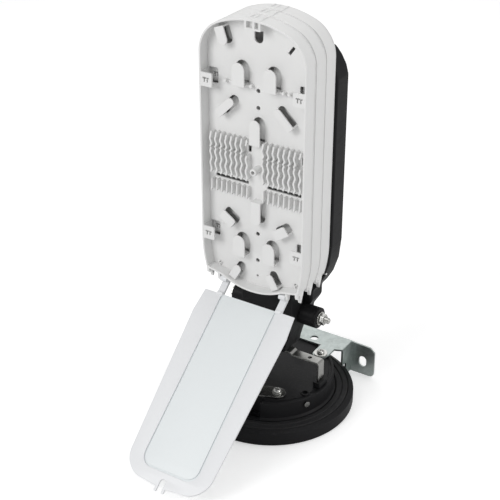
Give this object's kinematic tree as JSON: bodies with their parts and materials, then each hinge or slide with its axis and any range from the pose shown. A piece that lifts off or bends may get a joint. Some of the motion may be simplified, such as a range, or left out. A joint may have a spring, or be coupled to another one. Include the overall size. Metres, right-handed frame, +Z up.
{
  "type": "fiber splice closure",
  "caption": "Dome splice closure shown without its dome: round port base, column and a stack of hinged splice trays with a pale lid hanging open.",
  "frame": {"origin": "centre of the round base, on the plane it stands on", "axes": "+Z up through the column, -Y the side the splice trays face, +X the side with the clamp nut"},
  "size_m": [0.1686, 0.2788, 0.4046],
  "materials": {
    "black_plastic": "satin moulded",
    "black_rubber": "matt",
    "white_plastic": "satin moulded",
    "lid_plastic": "smooth, faintly cool white",
    "zinc_steel": "bright zinc plate",
    "galvanised_steel": "galvanised sheet"
  },
  "bodies": {
    "stand": {"base": "black_plastic", "seal_ring": "black_rubber", "port_plug_1": "black_rubber", "port_plug_2": "black_rubber", "port_plug_3": "black_rubber", "port_plug_4": "black_rubber", "oval_port_plug": "black_rubber", "bridge_strap": "zinc_steel", "post_screw_left": "zinc_steel", "post_screw_right": "zinc_steel", "strength_strip": "zinc_steel", "strip_washer_left": "zinc_steel", "strip_washer_right": "zinc_steel", "strip_screw_left": "zinc_steel", "strip_screw_right": "zinc_steel", "earth_screw": "zinc_steel", "wall_bracket": "galvanised_steel", "bracket_washer_left": "zinc_steel", "bracket_washer_right": "zinc_steel", "bracket_screw_left": "zinc_steel", "bracket_screw_right": "zinc_steel", "support_post": "black_plastic", "tray_holder": "black_plastic", "clamp_bolt": "zinc_steel", "clamp_washer": "zinc_steel", "clamp_nut": "zinc_steel"},
    "tray_rear": {"tray_rear": "white_plastic"},
    "tray_middle": {"tray_middle": "white_plastic"},
    "tray_front": {"tray_front": "white_plastic"},
    "lid": {"lid": "lid_plastic"}
  },
  "joints": [
    {"name": "tray_rear_hinge", "type": "hinge", "parent": "stand", "child": "tray_rear", "pos_m": [0, 0.0182, 0.1495], "axis": [1, 0, 0], "range_deg": [0, 7]},
    {"name": "tray_middle_hinge", "type": "hinge", "parent": "tray_rear", "child": "tray_middle", "pos_m": [0, 0.0009, 0.1495], "axis": [1, 0, 0], "range_deg": [0, 7]},
    {"name": "tray_front_hinge", "type": "hinge", "parent": "tray_middle", "child": "tray_front", "pos_m": [0, -0.0164, 0.1495], "axis": [1, 0, 0], "range_deg": [0, 7]},
    {"name": "lid_hinge", "type": "hinge", "parent": "tray_front", "child": "lid", "pos_m": [0, -0.0332, 0.1442], "axis": [-1, 0, 0], "range_deg": [0, 128]}
  ]
}
